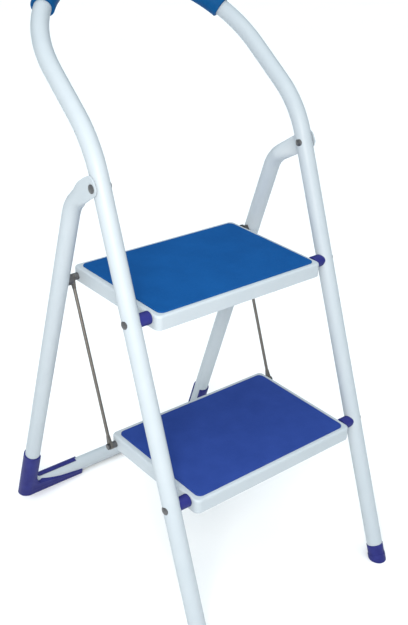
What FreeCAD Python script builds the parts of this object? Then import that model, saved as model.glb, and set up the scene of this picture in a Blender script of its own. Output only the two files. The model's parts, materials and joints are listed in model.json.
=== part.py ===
import FreeCAD, Part
import math
import os
from FreeCAD import Vector as V

# Two-step folding ladder, millimetres, +Z up, -Y is the side the user climbs from.
# The origin is the middle of the footprint on the floor.

# ---------------------------------------------------------------- driving dimensions
Y_MID = 251.4            # shift that puts the origin in the middle of the footprint
floor_z = 2.5            # height of the floor in the frame the pieces are laid out in

tube_d = 25.0            # round steel tube of both frames
tube_wall = 1.2

# front frame: one tube, two legs joined by the handrail arch
front_half = 182.0       # half spacing of the legs, centre to centre
front_lean = 21.0        # degrees the legs lean back
bend_z = 693.75          # height of the knee where the handrail starts
bend_r = 156.0           # knee bend radius
arm_lean = 53.05         # degrees the handrail leans back
arm_taper = 1.7          # degrees the two arms close towards the arch
arm_len = 75.0           # straight arm between knee and arch
front_cut_z = 7.5        # the tube ends here, inside the foot, 5 above the floor

# rear frame: one U tube, flattened at both top ends
rear_half = 185.5
rear_foot_y = 496.5      # leg axis at height zero
rear_lean = 17.2         # degrees the legs lean forward
rear_bend_r = 50.0
rear_corner_r = 28.0
drain_r = 2.5
cross_s = 17.8           # crossbar axis, measured up the leg plane from the floor
tab_rise = 31.0          # degrees the flattened ends rise towards the hinge rivet
tab_w = 29.5
tab_off = -2.6           # the flat end sits a little above the rivet axis
tab_t = 2.4              # two walls of the tube
tab_x = 195.1            # inner face of the flattened end, beside the outside of the front leg
tab_end_r = 4.0          # rounding of its outline

# pivots on the front legs (heights on the leg axis)
hinge_z = 641.0          # rear frame hinge
upper_z = 472.5          # upper step pivot
lower_z = 228.3          # lower step pivot

# steps
tray_half_w = 153.5
tray_front = -20.0       # tray front edge from the pivot
tray_back = 187.0
tray_top = 7.5           # tray top above the pivot
tray_bottom = -13.8
tray_wall = 1.2
tray_corner = 9.0
tray_edge = 3.4          # rounding of the top edge, outside
tray_edge_in = 1.0       # the same, inside
hem_w = 6.0
mat_half_w = 145.0
mat_front = -13.4
mat_back = 178.5
mat_t = 2.0
mat_corner = 9.0

# link pins, measured from the step pivots
pin_dy = 175.0
pin_dz = -6.0
pin_r = 3.5
roller_r = 7.0
rod_r = 2.5
rod_x = 163.0            # plane of the rods
eye_r = 5.4
eye_t = 4.0

# pivot hardware
bolt_r = 3.0             # step pivot bolts
bolt_head_r = 6.5
spacer_r = 9.5
nut_af = 10.0
washer_r = 5.4
washer_gap = 1.2         # play between tray and washer
rivet_r = 4.0            # rear frame hinge rivets
run_clear = 0.05         # radial running clearance

# plastics
foot_r = 13.2            # collar of the front feet
foot_top = 30.0          # along the tube
foot_base_r = 14.0       # thicker base of the front feet
foot_base_top = 13.0
shoe_r = 14.8            # sleeve of the rear shoes, around the leg
shoe_leg_s = 105.0       # sleeve top, up the leg
shoe_bar_x = 80.0        # inner ends
shoe_front_n = 14.6      # flat front wall, from the leg plane
shoe_lip_s = 30.0        # rim of the front wall beside the leg, falling towards its end
shoe_lip = [(101.0, 20.8), (124.0, 23.2), (150.0, 27.6)]
grip_r = 17.0
grip_left_deg = 51.6     # grip ends, from the top of the arch
grip_right_deg = 62.9

R = tube_d / 2.0
os.makedirs("parts", exist_ok=True)


# ---------------------------------------------------------------- helpers
def rad(a):
    return math.radians(a)


def unit(v):
    w = V(v)
    w.normalize()
    return w


def rod(p, q, r):
    d = q.sub(p)
    return Part.makeCylinder(r, d.Length, p, d)


def xcyl(x0, x1, y, z, r):
    return Part.makeCylinder(r, abs(x1 - x0), V(min(x0, x1), y, z), V(1, 0, 0))


def arc_solid(centre, axis, start, tangent, angle, r):
    """Round bar bent about an axis: a disc at start turned by angle degrees."""
    disc = Part.Face(Part.Wire(Part.makeCircle(r, start, tangent)))
    return disc.revolve(centre, axis, angle)


def fuse(shapes):
    s = shapes[0].multiFuse(shapes[1:]) if len(shapes) > 1 else shapes[0]
    return s.removeSplitter()


def mirror_x(s):
    return s.mirror(V(0, 0, 0), V(1, 0, 0))


def poly_face(pts):
    return Part.Face(Part.makePolygon(pts + [pts[0]]))


def rounded_rect(x0, x1, y0, y1, z, r):
    """Rectangle with round corners as a face at height z."""
    k = r * (1 - math.sqrt(0.5))
    e = []
    e.append(Part.LineSegment(V(x0 + r, y0, z), V(x1 - r, y0, z)).toShape())
    e.append(Part.Arc(V(x1 - r, y0, z), V(x1 - k, y0 + k, z), V(x1, y0 + r, z)).toShape())
    e.append(Part.LineSegment(V(x1, y0 + r, z), V(x1, y1 - r, z)).toShape())
    e.append(Part.Arc(V(x1, y1 - r, z), V(x1 - k, y1 - k, z), V(x1 - r, y1, z)).toShape())
    e.append(Part.LineSegment(V(x1 - r, y1, z), V(x0 + r, y1, z)).toShape())
    e.append(Part.Arc(V(x0 + r, y1, z), V(x0 + k, y1 - k, z), V(x0, y1 - r, z)).toShape())
    e.append(Part.LineSegment(V(x0, y1 - r, z), V(x0, y0 + r, z)).toShape())
    e.append(Part.Arc(V(x0, y0 + r, z), V(x0 + k, y0 + k, z), V(x0 + r, y0, z)).toShape())
    return Part.Face(Part.Wire(e))


def edges_at_z(shape, z):
    out = []
    for e in shape.Edges:
        b = e.BoundBox
        if abs(b.ZMin - z) < 1e-4 and abs(b.ZMax - z) < 1e-4:
            out.append(e)
    return out


def dome(x_face, out, y, z, r, h, flat=0.35):
    """Low domed head on a face at x_face, growing towards out (+1 or -1)."""
    sphere_r = (r * r + h * h * (1 - flat) ** 2) / (2 * h * (1 - flat))
    prof = [V(0, 0, 0), V(0, r, 0), V(h * flat, r, 0)]
    apex = V(h, 0, 0)
    mid_x = h - sphere_r + math.sqrt(max(sphere_r ** 2 - (r * 0.5) ** 2, 0.0))
    a = Part.Arc(prof[2], V(mid_x, r * 0.5, 0), apex).toShape()
    w = Part.Wire([Part.makeLine(prof[0], prof[1]), Part.makeLine(prof[1], prof[2]), a,
                   Part.makeLine(apex, prof[0])])
    s = Part.Face(w).revolve(V(0, 0, 0), V(1, 0, 0), 360)
    if out < 0:
        s = mirror_x(s)
    s.translate(V(x_face, y, z))
    return s


def hexagon(x0, x1, y, z, af):
    rr = af / 2.0 / math.cos(math.pi / 6)
    pts = [V(x0, y + rr * math.cos(math.pi / 3 * i), z + rr * math.sin(math.pi / 3 * i)) for i in range(6)]
    return poly_face(pts).extrude(V(x1 - x0, 0, 0))


NODES = {}


def node(name, shape):
    NODES[name] = shape


def both(s):
    """Left and right copies of a piece made on the +X side."""
    return [s, mirror_x(s)]


# ---------------------------------------------------------------- pivot points (y, z)
t1 = math.tan(rad(front_lean))


def leg_y(z):
    return t1 * z


P1 = (leg_y(hinge_z), hinge_z)
P2 = (leg_y(upper_z), upper_z)
P4 = (leg_y(lower_z), lower_z)
P3 = (P2[0] + pin_dy, P2[1] + pin_dz)
P5 = (P4[0] + pin_dy, P4[1] + pin_dz)

# ---------------------------------------------------------------- front frame tube
d1 = V(0, math.sin(rad(front_lean)), math.cos(rad(front_lean)))
be, iw = rad(arm_lean), rad(arm_taper)
d2 = V(-math.sin(iw), math.sin(be) * math.cos(iw), math.cos(be) * math.cos(iw))
knee = V(front_half, leg_y(bend_z), bend_z)
turn = d1.getAngle(d2)
tan_len = bend_r * math.tan(turn / 2)
A = knee.sub(V(d1).multiply(tan_len))
B = knee.add(V(d2).multiply(tan_len))
E = B.add(V(d2).multiply(arm_len))
n1 = unit(d2.sub(V(d1).multiply(d1.dot(d2))))
C1 = A.add(V(n1).multiply(bend_r))
arch_r = E.x / math.cos(iw)
e_up = V(0, math.sin(be), math.cos(be))
inward = V(-math.cos(iw), 0, 0).sub(V(e_up).multiply(math.sin(iw)))
C2 = E.add(V(inward).multiply(arch_r))            # arch centre, on x = 0


def front_bar(r, low):
    """Solid bar along the whole front frame, radius r, from height low."""
    start = V(front_half, leg_y(low), low)
    side = [rod(start, A, r),
            arc_solid(C1, d1.cross(n1), A, d1, math.degrees(turn), r),
            rod(B, E, r)]
    side += [mirror_x(s) for s in side]
    arch_axis = d2.cross(inward)
    side.append(arc_solid(C2, arch_axis, E, d2, 180.0 - 2 * arm_taper, r))
    return side


outer = fuse(front_bar(R, -40.0))
inner = fuse(front_bar(R - tube_wall, -60.0))
front_tube = outer.cut(inner)
front_tube = front_tube.cut(Part.makeBox(600, 400, 200, V(-300, -200, -200 + front_cut_z)))
for (y, z, hr) in ((P1[0], P1[1], rivet_r), (P2[0], P2[1], bolt_r), (P4[0], P4[1], bolt_r)):
    front_tube = front_tube.cut(xcyl(-240, 240, y, z, hr + run_clear))
node("front_frame_tube", front_tube)

leg_solid_r = rod(V(front_half, leg_y(-60), -60), A, R)   # used to seat pieces on the legs

# handrail grip: sleeve on the arch
top_pt = C2.add(V(e_up).multiply(arch_r))


def arch_point(deg):
    """Point and tangent on the arch, deg from the top, positive towards +X."""
    a = rad(deg)
    p = C2.add(V(math.sin(a) * arch_r, 0, 0)).add(V(e_up).multiply(math.cos(a) * arch_r))
    t = V(-math.cos(a), 0, 0).add(V(e_up).multiply(math.sin(a)))
    return p, t


gp, gt = arch_point(grip_right_deg)
g_axis = gt.cross(C2.sub(gp))
g_total = grip_left_deg + grip_right_deg
g_out = arc_solid(C2, g_axis, gp, gt, g_total, grip_r)
end_edges = [e for e in g_out.Edges if e.Curve.TypeId == "Part::GeomCircle"
             and abs(e.Curve.Radius - grip_r) < 1e-3 and e.Length < 2 * math.pi * grip_r + 1]
g_out = g_out.makeFillet(2.0, end_edges)
p2, t2_ = arch_point(grip_right_deg + 4)
g_in = arc_solid(C2, g_axis, p2, t2_, g_total + 8, R + 0.05)
node("handrail_grip", g_out.cut(g_in))

# front feet: caps on the tube ends, sole flat on the floor
base = V(front_half, leg_y(-30), -30)
foot_end = V(front_half, 0, 0).add(V(d1).multiply(foot_top))
cap = rod(base, foot_end, foot_r)
rim = [e for e in cap.Edges if e.Curve.TypeId == "Part::GeomCircle"
       and (e.CenterOfMass.sub(foot_end)).Length < 0.5]
cap = cap.makeFillet(0.6, rim)
base_end = V(front_half, 0, 0).add(V(d1).multiply(foot_base_top))
heel = rod(base, base_end, foot_base_r)
rim = [e for e in heel.Edges if e.Curve.TypeId == "Part::GeomCircle"
       and (e.CenterOfMass.sub(base_end)).Length < 0.5]
cap = cap.fuse(heel.makeFillet(0.8, rim)).removeSplitter()
cap = cap.common(Part.makeBox(200, 200, 100, V(front_half - 100, -100, floor_z)))
sole = [e for e in edges_at_z(cap, floor_z)]
cap = cap.makeFillet(1.5, sole)
socket = rod(base, foot_end.add(V(d1).multiply(10)), R + 0.02)
socket = socket.common(Part.makeBox(200, 200, 100, V(front_half - 100, -100, front_cut_z)))
cap = cap.cut(socket)
node("front_foot_right", cap)
node("front_foot_left", mirror_x(cap))

# ---------------------------------------------------------------- step pivots
tube_in = front_half - R
flange_in = tray_half_w - tray_wall
washer_x1 = flange_in - washer_gap
washer_x0 = washer_x1 - 1.6
nut_x0 = washer_x0 - 5.0
bolt_end = nut_x0 - 2.0


def step_pivot(y, z):
    shank = xcyl(bolt_end, front_half + R + 1.0, y, z, bolt_r)
    head = dome(front_half + R - 1.8, 1, y, z, bolt_head_r, 3.4).cut(leg_solid_r)
    bolt = shank.fuse(head).removeSplitter()
    sp = xcyl(tray_half_w + 0.5, front_half, y, z, spacer_r)
    ring = [e for e in sp.Edges if e.Curve.TypeId == "Part::GeomCircle"
            and abs(e.CenterOfMass.x - (tray_half_w + 0.5)) < 1e-3]
    sp = sp.makeFillet(0.8, ring).cut(leg_solid_r)
    sp = sp.cut(xcyl(100, 260, y, z, bolt_r + run_clear))
    wa = xcyl(washer_x0, washer_x1, y, z, washer_r).cut(xcyl(100, 200, y, z, bolt_r + run_clear))
    nt = hexagon(nut_x0, washer_x0, y, z, nut_af)
    nt = nt.common(dome_block(nut_x0, washer_x0, y, z, nut_af))
    nt = nt.cut(xcyl(100, 200, y, z, bolt_r))
    return bolt, sp, wa, nt


def dome_block(x0, x1, y, z, af):
    """Round blank with chamfered rims that breaks the corners of a nut."""
    rr = af / 2.0 / math.cos(math.pi / 6)
    c = xcyl(x0, x1, y, z, rr)
    rims = [e for e in c.Edges if e.Curve.TypeId == "Part::GeomCircle"]
    return c.makeChamfer(0.7, rims)


ub, us, uw, un = step_pivot(*P2)
lb, ls, lw, ln = step_pivot(*P4)
node("upper_pivot_bolts", Part.makeCompound(both(ub)))
node("lower_pivot_bolts", Part.makeCompound(both(lb)))
node("upper_pivot_spacers", Part.makeCompound(both(us)))
node("lower_pivot_spacers", Part.makeCompound(both(ls)))
node("pivot_washers", Part.makeCompound(both(uw) + both(lw)))
node("pivot_nuts", Part.makeCompound(both(un) + both(ln)))

# rear frame hinge rivets, through the front legs and the flattened leg ends
rv = xcyl(tube_in - 0.4, tab_x + tab_t + 0.8, P1[0], P1[1], rivet_r)
rv = rv.fuse(dome(tube_in + 1.8, -1, P1[0], P1[1], 6.2, 3.2).cut(leg_solid_r))
rv = rv.fuse(dome(tab_x + tab_t + 0.4, 1, P1[0], P1[1], 6.2, 1.6)).removeSplitter()
node("leg_hinge_rivets", Part.makeCompound(both(rv)))

# ---------------------------------------------------------------- rear frame tube
rl = rad(rear_lean)
es = V(0, -math.sin(rl), math.cos(rl))            # up the leg
en = V(0, math.cos(rl), math.sin(rl))             # out of the leg plane, to the rear
O_rear = V(0, rear_foot_y, 0)


def rear_pt(x, s, n=0.0):
    return O_rear.add(V(x, 0, 0)).add(V(es).multiply(s)).add(V(en).multiply(n))


ut = V(0, -math.cos(rad(tab_rise)), math.sin(rad(tab_rise)))   # towards the rivet
hinge_c = V(rear_half, P1[0], P1[1])
# leg axis meets the axis of the flattened end
rel = hinge_c.sub(rear_pt(rear_half, 0))
n_dist = rel.dot(en)
s_hinge = rel.dot(es)
un_, us_ = ut.dot(en), ut.dot(es)
corner_s = s_hinge - us_ / un_ * n_dist
corner = rear_pt(rear_half, corner_s)
r_turn = es.getAngle(ut)
r_tan = rear_bend_r * math.tan(r_turn / 2)
ra = corner.sub(V(es).multiply(r_tan))
rb = corner.add(V(ut).multiply(r_tan))
rn = unit(ut.sub(V(es).multiply(es.dot(ut))))
rc = ra.add(V(rn).multiply(rear_bend_r))
d_bend = hinge_c.sub(rb).Length                   # straight length before the rivet
d_round = 68.0                                    # the tube is round up to here, before the rivet


def end_frame(d):
    """Point and direction on the axis of the top end, d before the rivet."""
    if d <= d_bend:
        return hinge_c.sub(V(ut).multiply(d)), V(ut)
    turn_back = FreeCAD.Rotation(V(1, 0, 0), -math.degrees((d - d_bend) / rear_bend_r))
    return rc.add(turn_back.multVec(rb.sub(rc))), turn_back.multVec(ut)


round_turn = math.degrees(r_turn - (d_round - d_bend) / rear_bend_r)
low_a = rear_pt(rear_half, cross_s + rear_corner_r)
low_b = rear_pt(rear_half - rear_corner_r, cross_s)
low_c = rear_pt(rear_half - rear_corner_r, cross_s + rear_corner_r)


def rear_bar(r):
    side = [rod(low_a, ra, r),
            arc_solid(rc, es.cross(rn), ra, es, round_turn, r),
            arc_solid(low_c, V(-1, 0, 0).cross(es), low_a, V(es).multiply(-1), 90.0, r)]
    side += [mirror_x(s) for s in side]
    side.append(rod(low_b, V(-low_b.x, low_b.y, low_b.z), r))
    return side


wdir = V(1, 0, 0).cross(ut)                       # across the flattened end


def flat_section(dist, f, shrink=1.0):
    """Closed outline between the round tube (f=0) and the flat end (f=1)."""
    c, along = end_frame(dist)
    across = V(1, 0, 0).cross(along)
    pts = []
    n = 32
    for i in range(n):
        a = 2 * math.pi * i / n
        cx, cw = math.cos(a), math.sin(a)
        x_round, w_round = rear_half + R * shrink * cx, R * shrink * cw
        k = 0.28
        sx = math.copysign(abs(cx) ** k, cx) if abs(cx) > 1e-9 else 0.0
        x_flat = tab_x + tab_t / 2 + (tab_t / 2 - 0.15) * sx
        w_flat = (tab_w / 2 - 0.3) * math.copysign(abs(cw) ** 0.92, cw) if abs(cw) > 1e-9 else 0.0
        x = x_round * (1 - f) + x_flat * f
        w = w_round * (1 - f) + (w_flat + tab_off) * f
        pts.append(V(x, c.y, c.z).add(V(across).multiply(w)))
    b = Part.BSplineCurve()
    b.interpolate(Points=pts, PeriodicFlag=True)
    return Part.Wire(b.toShape())


# the press line stands a hair proud of the tube, then the section goes over to the flat end
secs = [flat_section(d_round + 2.0, 0.0, 1.010), flat_section(d_round - 2.0, 0.0, 1.010)]
for k in range(1, 17):
    u = k / 16.0
    secs.append(flat_section(d_round - 2.0 - 40.0 * u, u * u * (3 - 2 * u), 1.010))
secs.append(flat_section(24.5, 1.0))
trans = Part.makeLoft(secs, True, True)
t1p = V(tab_x, P1[0], P1[1])


def tab_pt(u, w):
    return t1p.add(V(ut).multiply(u)).add(V(wdir).multiply(w))


h_w = tab_w / 2
tab = poly_face([tab_pt(-27.5, tab_off + h_w), tab_pt(-13.0, tab_off + h_w - 1.2), tab_pt(2.0, tab_off + h_w - 1.6),
                 tab_pt(8.0, 4.5), tab_pt(8.0, -9.0), tab_pt(3.0, tab_off - h_w + 0.4),
                 tab_pt(-9.0, tab_off - h_w - 0.6), tab_pt(-27.5, tab_off - h_w)]).extrude(V(tab_t, 0, 0))
corners = []
for e in tab.Edges:
    d = e.Vertexes[0].Point.sub(e.Vertexes[1].Point)
    if abs(abs(d.x) - tab_t) < 1e-6 and e.CenterOfMass.sub(tab_pt(0, 0)).dot(ut) > 1.0:
        corners.append(e)
tab = tab.makeFillet(tab_end_r, corners)

hollow = [o.cut(i) for o, i in zip(rear_bar(R), rear_bar(R - tube_wall))]
rear_tube = fuse(hollow)
# drain hole under the middle of the crossbar, as on any coated closed tube
drain = rod(rear_pt(0, cross_s), rear_pt(0, cross_s - R - 3.0), drain_r)
rear_tube = rear_tube.cut(drain)
leg_end = trans.fuse(tab)
for s in both(leg_end):
    rear_tube = rear_tube.fuse(s)
rear_tube = rear_tube.cut(xcyl(-210, -150, P1[0], P1[1], rivet_r + run_clear))
rear_tube = rear_tube.cut(xcyl(150, 210, P1[0], P1[1], rivet_r + run_clear))
node("rear_frame_tube", rear_tube)
rear_leg_solid = rod(low_a, ra, R)

# rear shoes: a channel on the leg, open to the inside, and one that grips the crossbar from behind
# up to its crown, with a lower wall in front that stands on the floor


def in_plane(pts, n0, n1):
    """Outline given as (x, s) in the leg plane, extruded from n0 to n1."""
    f = poly_face([rear_pt(x, s, n0) for x, s in pts])
    return f.extrude(V(en).multiply(n1 - n0))


def arc_pts(cx, cs, r, a0, a1, n=8):
    return [(cx + r * math.cos(rad(a0 + (a1 - a0) * i / n)), cs + r * math.sin(rad(a0 + (a1 - a0) * i / n)))
            for i in range(n + 1)]


xi = rear_half - 10.0                              # the walls on the leg end here
low = -12.0
top = shoe_leg_s + 5.0
x_end = shoe_bar_x - 5.0
front_open = (arc_pts(xi - 12.0, shoe_lip_s + 12.0, 12.0, -90, 0)
              + [(xi, top), (x_end, top), (x_end, 17.0)] + shoe_lip)
crown = cross_s + shoe_r + 0.4
rear_open = (arc_pts(xi - 18.0, crown + 18.0, 18.0, -90, 0)
             + [(xi, top), (x_end, top), (x_end, 23.0), (84.0, 25.0), (88.0, crown)])
gusset = [(rear_half, low), (rear_half, 52.0), (xi, 44.0), (xi - 12.0, 33.0), (shoe_bar_x, 26.0), (shoe_bar_x, low)]
core_prof = [(rear_half, low), (rear_half, cross_s), (shoe_bar_x, cross_s), (shoe_bar_x, low)]
shoe = rod(rear_pt(rear_half, low), rear_pt(rear_half, shoe_leg_s - 0.7), shoe_r)
shoe = shoe.fuse(Part.makeCone(shoe_r, shoe_r - 0.7, 0.7, rear_pt(rear_half, shoe_leg_s - 0.7), es))
shoe = shoe.fuse(rod(rear_pt(shoe_bar_x, cross_s), rear_pt(rear_half, cross_s), shoe_r))
shoe = shoe.fuse(in_plane(core_prof, -shoe_front_n, R)).fuse(in_plane(gusset, -shoe_front_n, -2.0)).removeSplitter()
shoe = shoe.cut(in_plane(front_open, -20.0, 0.0)).cut(in_plane(rear_open, 0.0, 20.0))
shoe = shoe.common(Part.makeBox(300, 200, 200, V(0, 400, floor_z)))
keep = fuse(rear_bar(R + 0.02))
shoe = shoe.cut(keep)
node("rear_shoe_right", shoe)
node("rear_shoe_left", mirror_x(shoe))

# support hooks: half-round troughs on the inner faces of the rear legs, open up and to the rear
hook_x = 165.9
hk_r0, hk_t = roller_r + 0.45, 3.0
open_dir = 66.0                                    # degrees, direction the roller leaves
a_front = open_dir + 90.0
a_back = open_dir + 270.0 - 6.0


def ring_pt(r, a):
    return V(hook_x, P3[0] + r * math.cos(rad(a)), P3[1] + r * math.sin(rad(a)))


lip = V(0, math.cos(rad(open_dir)), math.sin(rad(open_dir))).multiply(5.0)
r0, r1 = hk_r0, hk_r0 + hk_t
mid = (a_front + a_back) / 2
hk = Part.Wire([
    Part.makeLine(ring_pt(r0, a_front).add(lip), ring_pt(r0, a_front)),
    Part.Arc(ring_pt(r0, a_front), ring_pt(r0, mid), ring_pt(r0, a_back)).toShape(),
    Part.makeLine(ring_pt(r0, a_back), ring_pt(r1, a_back)),
    Part.Arc(ring_pt(r1, a_back), ring_pt(r1, mid), ring_pt(r1, a_front)).toShape(),
    Part.makeLine(ring_pt(r1, a_front), ring_pt(r1, a_front).add(lip)),
    Part.makeLine(ring_pt(r1, a_front).add(lip), ring_pt(r0, a_front).add(lip))])
hook = Part.Face(hk).extrude(V(rear_half - hook_x, 0, 0)).cut(rear_leg_solid)
node("support_hook_right", hook)
node("support_hook_left", mirror_x(hook))


# ---------------------------------------------------------------- steps
def tray(py, pz):
    x = tray_half_w
    y0, y1 = py + tray_front, py + tray_back
    z0, z1 = pz + tray_bottom, pz + tray_top
    w = tray_wall
    o = rounded_rect(-x, x, y0, y1, z0, tray_corner).extrude(V(0, 0, z1 - z0))
    o = o.makeFillet(tray_edge, edges_at_z(o, z1))
    i = rounded_rect(-x + w, x - w, y0 + w, y1 - w, z0 - 1, tray_corner - w).extrude(V(0, 0, z1 - z0 - w + 1))
    i = i.makeFillet(tray_edge_in, edges_at_z(i, z1 - w))
    t = o.cut(i)
    h = hem_w
    hem = rounded_rect(-x + w * 0.5, x - w * 0.5, y0 + w * 0.5, y1 - w * 0.5, z0, tray_corner - w * 0.5)
    hem = hem.extrude(V(0, 0, w))
    hem = hem.cut(rounded_rect(-x + h, x - h, y0 + h, y1 - h, z0 - 1, tray_corner - h).extrude(V(0, 0, w + 2)))
    t = t.fuse(hem).removeSplitter()
    for (hy, hz, hr) in ((py, pz, bolt_r + run_clear), (py + pin_dy, pz + pin_dz, pin_r + 0.02)):
        t = t.cut(xcyl(-200, -100, hy, hz, hr)).cut(xcyl(100, 200, hy, hz, hr))
    return t


def mat(py, pz):
    z0 = pz + tray_top
    m = rounded_rect(-mat_half_w, mat_half_w, py + mat_front, py + mat_back, z0, mat_corner)
    m = m.extrude(V(0, 0, mat_t))
    return m.makeFillet(0.7, edges_at_z(m, z0 + mat_t))


upper_tray, lower_tray = tray(*P2), tray(*P4)
node("upper_step_tray", upper_tray)
node("upper_step_mat", mat(*P2))
node("lower_step_tray", lower_tray)
node("lower_step_mat", mat(*P4))

eye_x0, eye_x1 = rod_x - eye_t / 2, rod_x + eye_t / 2
pin_end_up = 170.6
pin_end_low = 168.2


def link_pin(y, z, end, step):
    s = xcyl(flange_in - 1.0, end, y, z, pin_r)
    return s.fuse(dome(flange_in, -1, y, z, 5.2, 2.6)).removeSplitter().cut(step)


def sleeve(x0, x1, y, z, r, f):
    s = xcyl(x0, x1, y, z, r)
    rims = [e for e in s.Edges if e.Curve.TypeId == "Part::GeomCircle"]
    s = s.makeFillet(f, rims)
    return s.cut(xcyl(x0 - 5, x1 + 5, y, z, pin_r + 0.02))


def pin_washer(y, z):
    return xcyl(tray_half_w, eye_x0 - 0.4, y, z, 5.4).cut(xcyl(100, 200, y, z, pin_r + 0.02))


node("upper_link_pins", Part.makeCompound(both(link_pin(P3[0], P3[1], pin_end_up, upper_tray))))
node("lower_link_pins", Part.makeCompound(both(link_pin(P5[0], P5[1], pin_end_low, lower_tray))))
node("upper_pin_rollers", Part.makeCompound(both(sleeve(eye_x1 + 0.4, pin_end_up - 0.2, P3[0], P3[1], roller_r, 0.8))))
node("lower_pin_caps", Part.makeCompound(both(sleeve(eye_x1 + 0.4, pin_end_low - 0.2, P5[0], P5[1], 4.8, 0.6))))
node("link_pin_washers_upper", Part.makeCompound(both(pin_washer(*P3))))
node("link_pin_washers_lower", Part.makeCompound(both(pin_washer(*P5))))

# ---------------------------------------------------------------- link rods
pa = V(rod_x, P3[0], P3[1])
pb = V(rod_x, P5[0], P5[1])
ax = unit(pb.sub(pa))
side_v = V(1, 0, 0).cross(ax)


def eye_end(p, along):
    """Flattened, tapered end with a round eye about p; along points down the rod."""
    q = V(eye_x0, p.y, p.z)
    c = q.add(V(along).multiply(17.0))
    a = 0.32
    e0, e1 = eye_r * math.cos(a), eye_r * math.sin(a)
    f = poly_face([q.add(V(side_v).multiply(e0)).add(V(along).multiply(e1)),
                   q.sub(V(side_v).multiply(e0)).add(V(along).multiply(e1)),
                   c.sub(V(side_v).multiply(rod_r * 0.9)), c.add(V(side_v).multiply(rod_r * 0.9))])
    s = f.extrude(V(eye_t, 0, 0))
    return s.fuse(xcyl(eye_x0, eye_x1, p.y, p.z, eye_r))


bar = rod(pa.add(V(ax).multiply(14.0)), pb.sub(V(ax).multiply(14.0)), rod_r)
link = bar.fuse(eye_end(pa, ax)).fuse(eye_end(pb, V(ax).multiply(-1))).removeSplitter()
for p in (pa, pb):
    link = link.cut(xcyl(100, 200, p.y, p.z, pin_r + 0.08))
node("link_rod_right", link)
node("link_rod_left", mirror_x(link))

# ---------------------------------------------------------------- write
box = FreeCAD.BoundBox()
for name in NODES:
    s = NODES[name]
    s.translate(V(0, -Y_MID, -floor_z))
    if not s.isValid():
        print("invalid", name)
    s.exportStep("parts/" + name + ".step")
    box.add(s.BoundBox)
    print("%-26s solids %d  volume %.1f" % (name, len(s.Solids), s.Volume))
print("box", [round(v, 3) for v in (box.XMin, box.XMax, box.YMin, box.YMax, box.ZMin, box.ZMax)])
for label, p in (("P1", P1), ("P2", P2), ("P3", P3), ("P4", P4), ("P5", P5)):
    print(label, p[0] - Y_MID, p[1] - floor_z)
print("arch centre", C2.y - Y_MID, C2.z - floor_z, "arch radius", arch_r)
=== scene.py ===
import json
import math

import bmesh
import bpy
from mathutils import Matrix, Vector


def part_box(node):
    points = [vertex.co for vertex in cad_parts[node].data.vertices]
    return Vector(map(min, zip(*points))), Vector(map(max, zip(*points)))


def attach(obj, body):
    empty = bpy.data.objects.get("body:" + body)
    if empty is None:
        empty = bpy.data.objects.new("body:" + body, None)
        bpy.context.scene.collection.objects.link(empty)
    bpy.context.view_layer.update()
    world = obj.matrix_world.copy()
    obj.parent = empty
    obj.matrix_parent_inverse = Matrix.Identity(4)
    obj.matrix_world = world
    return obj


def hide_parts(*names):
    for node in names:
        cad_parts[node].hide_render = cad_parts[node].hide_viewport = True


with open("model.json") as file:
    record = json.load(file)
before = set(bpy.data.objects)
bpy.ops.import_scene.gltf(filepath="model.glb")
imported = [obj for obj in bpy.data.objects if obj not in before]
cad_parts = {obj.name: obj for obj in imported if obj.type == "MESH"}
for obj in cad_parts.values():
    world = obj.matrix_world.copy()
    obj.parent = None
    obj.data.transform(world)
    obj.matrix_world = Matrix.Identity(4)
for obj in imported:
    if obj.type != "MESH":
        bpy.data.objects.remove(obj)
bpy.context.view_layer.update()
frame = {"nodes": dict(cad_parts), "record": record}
NODES = frame["nodes"]
scene = bpy.context.scene
scene.view_settings.view_transform = "Standard"

# ------------------------------------------------------------------ shape data of the ladder, metres
MM = 0.001
FRONT_LEAN = math.radians(21.0)
REAR_LEAN = math.radians(17.2)
ARM_LEAN = math.radians(53.05)
ARCH_C = Vector((0.0, 0.10642267, 0.76008787))
ARCH_R = 0.17852262
ARCH_UP = Vector((0.0, math.sin(ARM_LEAN), math.cos(ARM_LEAN)))
LEG_UP = Vector((0.0, math.sin(FRONT_LEAN), math.cos(FRONT_LEAN)))


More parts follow.
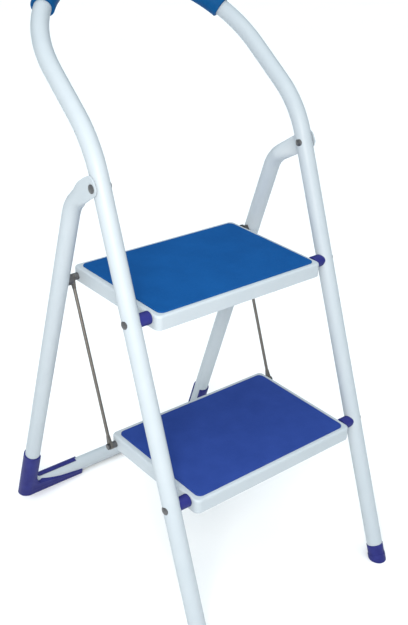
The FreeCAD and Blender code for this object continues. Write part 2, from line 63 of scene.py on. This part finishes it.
# ------------------------------------------------------------------ material helpers
class Mat:
    """Small helper around one node material."""

    def __init__(self, name):
        self.m = bpy.data.materials.new(name)
        self.m.use_nodes = True
        self.t = self.m.node_tree
        self.t.nodes.clear()
        self.out = self.t.nodes.new("ShaderNodeOutputMaterial")
        self.b = self.t.nodes.new("ShaderNodeBsdfPrincipled")
        self.t.links.new(self.b.outputs["BSDF"], self.out.inputs["Surface"])
        self.coord = self.t.nodes.new("ShaderNodeTexCoord")

    def set(self, **kw):
        for k, v in kw.items():
            self.b.inputs[k.replace("_", " ")].default_value = v

    def link(self, a, b):
        self.t.links.new(a, b)

    def mapping(self, scale=(1, 1, 1), rot=(0, 0, 0)):
        n = self.t.nodes.new("ShaderNodeMapping")
        n.inputs["Scale"].default_value = scale
        n.inputs["Rotation"].default_value = rot
        self.link(self.coord.outputs["Object"], n.inputs["Vector"])
        return n.outputs["Vector"]

    def noise(self, scale, detail=2.0, rough=0.5, vec=None, distortion=0.0):
        n = self.t.nodes.new("ShaderNodeTexNoise")
        n.inputs["Scale"].default_value = scale
        n.inputs["Detail"].default_value = detail
        n.inputs["Roughness"].default_value = rough
        n.inputs["Distortion"].default_value = distortion
        self.link(vec if vec is not None else self.coord.outputs["Object"], n.inputs["Vector"])
        return n.outputs["Fac"]

    def voronoi(self, scale, feature="F1", vec=None):
        n = self.t.nodes.new("ShaderNodeTexVoronoi")
        n.feature = feature
        n.inputs["Scale"].default_value = scale
        self.link(vec if vec is not None else self.coord.outputs["Object"], n.inputs["Vector"])
        return n.outputs["Distance"]

    def ramp(self, fac, stops):
        n = self.t.nodes.new("ShaderNodeValToRGB")
        e = n.color_ramp.elements
        while len(e) < len(stops):
            e.new(0.5)
        for i, (p, c) in enumerate(stops):
            e[i].position = p
            e[i].color = (*c, 1.0)
        self.link(fac, n.inputs["Fac"])
        return n.outputs["Color"]

    def span(self, fac, lo, hi, a=0.0, b=1.0):
        n = self.t.nodes.new("ShaderNodeMapRange")
        n.inputs["From Min"].default_value = a
        n.inputs["From Max"].default_value = b
        n.inputs["To Min"].default_value = lo
        n.inputs["To Max"].default_value = hi
        self.link(fac, n.inputs["Value"])
        return n.outputs["Result"]

    def mix(self, fac, a, b, kind="MIX"):
        n = self.t.nodes.new("ShaderNodeMix")
        n.data_type = "RGBA"
        n.blend_type = kind
        if isinstance(fac, (int, float)):
            n.inputs["Factor"].default_value = fac
        else:
            self.link(fac, n.inputs["Factor"])
        self.link(a, n.inputs["A"])
        self.link(b, n.inputs["B"])
        return n.outputs["Result"]

    def bump(self, height, strength, distance, normal=None):
        n = self.t.nodes.new("ShaderNodeBump")
        n.inputs["Strength"].default_value = strength
        n.inputs["Distance"].default_value = distance
        self.link(height, n.inputs["Height"])
        if normal is not None:
            self.link(normal, n.inputs["Normal"])
        return n.outputs["Normal"]

    def color(self, sock):
        self.link(sock, self.b.inputs["Base Color"])

    def rough(self, sock):
        self.link(sock, self.b.inputs["Roughness"])

    def normal(self, sock):
        self.link(sock, self.b.inputs["Normal"])


def powder_coat():
    m = Mat("white_powder_coat")
    m.color(m.ramp(m.noise(22.0, 3.0, 0.6), [(0.25, (0.392, 0.440, 0.478)), (0.75, (0.416, 0.462, 0.496))]))
    m.rough(m.span(m.noise(130.0, 3.0), 0.36, 0.50))
    n1 = m.bump(m.noise(620.0, 1.5), 0.02, 0.0003)
    m.normal(m.bump(m.noise(70.0, 1.0), 0.04, 0.0010, n1))
    m.set(Coat_Weight=0.05, Coat_Roughness=0.15, IOR=1.5, Specular_IOR_Level=0.25)
    return m.m


def mat_rubber(name, lo, hi):
    m = Mat(name)
    fine = m.ramp(m.noise(1400.0, 3.0, 0.65), [(0.30, lo), (0.70, hi)])
    broad = m.ramp(m.noise(26.0, 3.0, 0.6), [(0.30, hi), (0.70, lo)])
    m.color(m.mix(0.5, fine, broad))
    m.rough(m.span(m.noise(300.0, 2.0), 0.62, 0.80))
    m.normal(m.bump(m.noise(2600.0, 2.0, 0.7), 0.25, 0.0003))
    m.set(IOR=1.48, Specular_IOR_Level=0.08)
    return m.m


def violet_plastic():
    m = Mat("violet_blue_plastic")
    m.color(m.ramp(m.noise(70.0, 3.0, 0.6), [(0.25, (0.014, 0.016, 0.122)), (0.75, (0.021, 0.025, 0.160))]))
    m.rough(m.span(m.noise(420.0, 2.0), 0.40, 0.56))
    m.normal(m.bump(m.noise(3200.0, 2.0, 0.6), 0.18, 0.0002))
    m.set(IOR=1.47, Specular_IOR_Level=0.18)
    return m.m


def grip_sleeve():
    m = Mat("blue_grip_sleeve")
    m.color(m.ramp(m.noise(60.0, 3.0, 0.6), [(0.25, (0.001, 0.053, 0.168)), (0.75, (0.002, 0.071, 0.214))]))
    m.rough(m.span(m.noise(380.0, 2.0), 0.46, 0.62))
    m.normal(m.bump(m.voronoi(900.0), 0.14, 0.0003))
    m.set(IOR=1.48, Specular_IOR_Level=0.08)
    return m.m


def zinc():
    m = Mat("dull_zinc_steel")
    m.color(m.ramp(m.noise(240.0, 4.0, 0.65), [(0.25, (0.100, 0.098, 0.100)), (0.75, (0.190, 0.187, 0.188))]))
    m.rough(m.span(m.noise(700.0, 3.0), 0.30, 0.52))
    m.normal(m.bump(m.noise(1800.0, 2.0), 0.12, 0.0002))
    m.set(Metallic=0.9)
    return m.m


def drawn_wire():
    m = Mat("drawn_steel_wire")
    v = m.mapping((1800.0, 1800.0, 30.0), (FRONT_LEAN, 0.0, 0.0))
    streak = m.noise(1.0, 3.0, 0.6, vec=v)
    m.color(m.ramp(streak, [(0.25, (0.105, 0.095, 0.085)), (0.75, (0.210, 0.195, 0.180))]))
    m.rough(m.span(m.noise(300.0, 3.0), 0.34, 0.55))
    m.normal(m.bump(streak, 0.15, 0.0002))
    m.set(Metallic=0.85)
    return m.m


def dark_plastic():
    m = Mat("dark_plastic")
    m.color(m.ramp(m.noise(180.0, 3.0), [(0.25, (0.018, 0.019, 0.022)), (0.75, (0.034, 0.035, 0.040))]))
    m.rough(m.span(m.noise(600.0, 2.0), 0.40, 0.58))
    m.normal(m.bump(m.noise(2800.0, 2.0), 0.15, 0.0002))
    return m.m


MATS = {
    "white_coat": powder_coat(),
    "step_mat": mat_rubber("blue_mat_upper", (0.002, 0.055, 0.203), (0.004, 0.073, 0.252)),
    "blue_plastic": violet_plastic(),
    "grip_blue": grip_sleeve(),
    "zinc_steel": zinc(),
    "rod_steel": drawn_wire(),
    "dark_plastic": dark_plastic(),
}

LOWER_MAT = mat_rubber("blue_mat_lower", (0.015, 0.039, 0.192), (0.023, 0.054, 0.246))

for sub in frame["record"]["subparts"]:
    o = NODES[sub["node"]]
    o.data.materials.clear()
    o.data.materials.append(LOWER_MAT if sub["node"] == "lower_step_mat" else MATS[sub["material_slot"]])


# ------------------------------------------------------------------ soft pieces in full detail
def piece(name, verts, faces, material, body, node):
    """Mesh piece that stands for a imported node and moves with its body."""
    me = bpy.data.meshes.new(name)
    me.from_pydata(verts, [], faces)
    me.validate()
    me.polygons.foreach_set("use_smooth", [True] * len(me.polygons))
    me.set_sharp_from_angle(angle=math.radians(40.0))
    me.materials.append(material)
    o = bpy.data.objects.new(name, me)
    scene.collection.objects.link(o)
    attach(o, body)
    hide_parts(node)
    return o


def rect_loop(x0, x1, y0, y1, r, z):
    """Rounded rectangle, counter-clockwise, the same number of points for every size."""
    pts = []
    corners = [(x1 - r, y0 + r, -90), (x1 - r, y1 - r, 0), (x0 + r, y1 - r, 90), (x0 + r, y0 + r, 180)]
    runs = [24, 36, 24, 36]
    for k, (cx, cy, a0) in enumerate(corners):
        arc = [Vector((cx + r * math.cos(math.radians(a0 + 90 * i / 10)),
                       cy + r * math.sin(math.radians(a0 + 90 * i / 10)), z)) for i in range(11)]
        pts += arc
        nx, ny, na = corners[(k + 1) % 4]
        end = Vector((nx + r * math.cos(math.radians(na)), ny + r * math.sin(math.radians(na)), z))
        n = runs[k]
        pts += [arc[-1].lerp(end, i / n) for i in range(1, n)]
    return pts


def step_mat(name, node, body, material):
    """Moulded mat: rounded outer edge, low bead and groove around a slightly sunk field."""
    (x0, y0, z0), (x1, y1, z1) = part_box(node)
    top = z1 - z0
    prof = [(0.00, 0.0), (0.00, top - 0.9 * MM), (0.08 * MM, top - 0.5 * MM), (0.30 * MM, top - 0.22 * MM),
            (0.70 * MM, top - 0.05 * MM), (1.20 * MM, top), (2.60 * MM, top), (3.00 * MM, top - 0.05 * MM),
            (3.40 * MM, top - 0.30 * MM), (4.20 * MM, top - 0.30 * MM), (4.70 * MM, top - 0.12 * MM),
            (5.40 * MM, top - 0.08 * MM), (6.60 * MM, top - 0.08 * MM)]
    loops = [rect_loop(x0 + i, x1 - i, y0 + i, y1 - i, 9.0 * MM - i, z0 + h) for i, h in prof]
    n = len(loops[0])
    verts = [tuple(v) for lp in loops for v in lp]
    faces = [(k * n + i, k * n + (i + 1) % n, (k + 1) * n + (i + 1) % n, (k + 1) * n + i)
             for k in range(len(loops) - 1) for i in range(n)]
    faces.append(tuple((len(loops) - 1) * n + i for i in range(n)))
    faces.append(tuple(reversed(range(n))))
    return piece(name, verts, faces, material, body, node)


def hand_grip():
    """Soft sleeve on the arch, a little fuller towards its rolled ends."""
    a0, a1 = -51.6, 62.9
    turns, rings = 56, 132
    edge = [(0.0, 12.62), (0.0, 15.0), (0.06, 15.9), (0.18, 16.5), (0.36, 16.85), (0.60, 16.98), (0.95, 17.0)]
    line = [(a0 + d, r) for d, r in edge]
    for i in range(1, rings):
        t = i / rings
        d = a0 + 0.95 + (a1 - a0 - 1.9) * t
        near = min(t, 1 - t) * (a1 - a0) / 6.0
        line.append((d, 16.86 + 0.14 * max(0.0, 1.0 - near) ** 2 + 0.02 * math.sin(d * 1.7) * math.sin(d * 0.61)))
    line += [(a1 - d, r) for d, r in reversed(edge)]
    line += [(a1 + (a0 - a1) * i / rings, 12.62) for i in range(1, rings)]
    verts = []
    side = Vector((1.0, 0.0, 0.0))
    for d, r in line:
        a = math.radians(d)
        out = side * math.sin(a) + ARCH_UP * math.cos(a)
        c = ARCH_C + out * ARCH_R
        up = out.cross(side * math.cos(a) - ARCH_UP * math.sin(a))
        for j in range(turns):
            b = 2 * math.pi * j / turns
            seam = 0.16 * math.exp(-((math.degrees(b) - 180.0) / 4.0) ** 2) if r > 16.5 else 0.0
            verts.append(tuple(c + (out * math.cos(b) + up * math.sin(b)) * (r - seam) * MM))
    m = len(line)
    faces = [(k * turns + j, k * turns + (j + 1) % turns, (k + 1) * turns + (j + 1) % turns, (k + 1) * turns + j)
             for k in range(m - 1) for j in range(turns)]
    for j in range(turns):
        faces.append(((m - 1) * turns + j, (m - 1) * turns + (j + 1) % turns, (j + 1) % turns, j))
    o = piece("grip_sleeve", verts, faces, MATS["grip_blue"], "front_frame", "handrail_grip")
    bm = bmesh.new()
    bm.from_mesh(o.data)
    bmesh.ops.recalc_face_normals(bm, faces=bm.faces)
    bm.to_mesh(o.data)
    bm.free()
    return o


step_mat("upper_mat", "upper_step_mat", "upper_step", MATS["step_mat"])
step_mat("lower_mat", "lower_step_mat", "lower_step", LOWER_MAT)
hand_grip()


# ------------------------------------------------------------------ camera, light and floor
def camera():
    yaw, pitch, roll = (math.radians(a) for a in (40.491, 27.182, 2.255))
    fwd = Vector((math.sin(yaw) * math.cos(pitch), math.cos(yaw) * math.cos(pitch), -math.sin(pitch)))
    right = Vector((math.cos(yaw), -math.sin(yaw), 0.0))
    up = right.cross(fwd)
    r2 = right * math.cos(roll) + up * math.sin(roll)
    u2 = -right * math.sin(roll) + up * math.cos(roll)
    data = bpy.data.cameras.new("camera")
    data.sensor_fit = "AUTO"
    data.sensor_width = 36.0
    data.lens = 920.236 / 625.0 * 36.0
    data.clip_start, data.clip_end = 0.02, 60.0
    cam = bpy.data.objects.new("camera", data)
    scene.collection.objects.link(cam)
    m = Matrix((r2, u2, -fwd)).transposed().to_4x4()
    m.translation = Vector((-0.800884, -0.940714, 1.036258))
    cam.matrix_world = m
    scene.camera = cam


def sun(name, toward, strength, angle, color):
    """Soft sun that shines from the given direction."""
    data = bpy.data.lights.new(name, "SUN")
    data.energy = strength
    data.angle = math.radians(angle)
    data.color = color
    o = bpy.data.objects.new(name, data)
    o.rotation_mode = "QUATERNION"
    o.rotation_quaternion = Vector(toward).normalized().to_track_quat("Z", "Y")
    scene.collection.objects.link(o)


def panel(name, at, target, size, power, color, spread):
    """Round soft light at a point, turned to a target."""
    data = bpy.data.lights.new(name, "AREA")
    data.shape = "DISK"
    data.size = size
    data.spread = math.radians(spread)
    data.energy = power
    data.color = color
    o = bpy.data.objects.new(name, data)
    o.location = at
    o.rotation_mode = "QUATERNION"
    o.rotation_quaternion = (Vector(at) - Vector(target)).to_track_quat("Z", "Y")
    scene.collection.objects.link(o)


def studio():
    w = bpy.data.worlds.new("studio")
    scene.world = w
    w.use_nodes = True
    t = w.node_tree
    bg = t.nodes["Background"]
    coord = t.nodes.new("ShaderNodeTexCoord")
    dot = t.nodes.new("ShaderNodeVectorMath")
    dot.operation = "DOT_PRODUCT"
    dot.inputs[1].default_value = Vector((-0.28, -0.22, 0.93)).normalized()
    t.links.new(coord.outputs["Generated"], dot.inputs[0])
    fade = t.nodes.new("ShaderNodeMapRange")
    fade.inputs["From Min"].default_value = -1.0
    fade.inputs["From Max"].default_value = 1.0
    t.links.new(dot.outputs["Value"], fade.inputs["Value"])
    ramp = t.nodes.new("ShaderNodeValToRGB")
    e = ramp.color_ramp.elements
    stops = [(0.25, 0.10), (0.45, 0.17), (0.55, 0.24), (0.65, 0.36), (0.78, 0.58), (0.90, 0.84), (1.0, 1.0)]
    while len(e) < len(stops):
        e.new(0.5)
    for i, (pos, v) in enumerate(stops):
        e[i].position = pos
        e[i].color = (v * 0.86, v * 0.955, v, 1.0)
    t.links.new(fade.outputs["Result"], ramp.inputs["Fac"])
    t.links.new(ramp.outputs["Color"], bg.inputs["Color"])
    bg.inputs["Strength"].default_value = 1.28
    panel("key", (-0.90, -0.92, 1.02), (-0.14, -0.08, 0.50), 0.60, 4.5, (1.0, 0.93, 0.87), 85.0)
    sun("top", (-0.10, -0.05, 1.0), 1.15, 90.0, (0.94, 0.98, 1.0))
    me = bpy.data.meshes.new("floor")
    bm = bmesh.new()
    bmesh.ops.create_grid(bm, x_segments=1, y_segments=1, size=14.0)
    bm.to_mesh(me)
    bm.free()
    floor = bpy.data.objects.new("floor", me)
    scene.collection.objects.link(floor)
    m = Mat("floor_white")
    m.color(m.ramp(m.noise(3.0, 2.0), [(0.2, (0.93, 0.93, 0.935)), (0.8, (0.95, 0.95, 0.953))]))
    m.set(Roughness=0.9, Specular_IOR_Level=0.1)
    me.materials.append(m.m)


def backdrop():
    """Pale wall far around the floor, glowing with painted light that greys towards the top. It is only looked
    at: it gives no light and no shade.
    """
    me = bpy.data.meshes.new("backdrop")
    bm = bmesh.new()
    bmesh.ops.create_uvsphere(bm, u_segments=64, v_segments=32, radius=13.4)
    bm.to_mesh(me)
    bm.free()
    me.polygons.foreach_set("use_smooth", [True] * len(me.polygons))
    wall = bpy.data.objects.new("backdrop", me)
    scene.collection.objects.link(wall)
    wall.visible_diffuse = False
    wall.visible_glossy = False
    wall.visible_transmission = False
    wall.visible_volume_scatter = False
    wall.visible_shadow = False
    m = Mat("backdrop_painted_glow")
    sep = m.t.nodes.new("ShaderNodeSeparateXYZ")
    m.link(m.coord.outputs["Object"], sep.inputs["Vector"])
    # painted light: the wall glows by itself, pure white at the floor and greyer towards the top
    col = m.ramp(m.span(sep.outputs["Z"], 0.0, 1.0, 0.0, 7.0),
                 [(0.0, (1.0, 1.0, 1.0)), (0.25, (0.93, 0.94, 0.95)), (1.0, (0.74, 0.76, 0.78))])
    glow = m.t.nodes.new("ShaderNodeEmission")
    m.link(col, glow.inputs["Color"])
    m.link(glow.outputs["Emission"], m.out.inputs["Surface"])
    m.t.nodes.remove(m.b)
    m.m.cycles.emission_sampling = "NONE"
    me.materials.append(m.m)


camera()
studio()
backdrop()
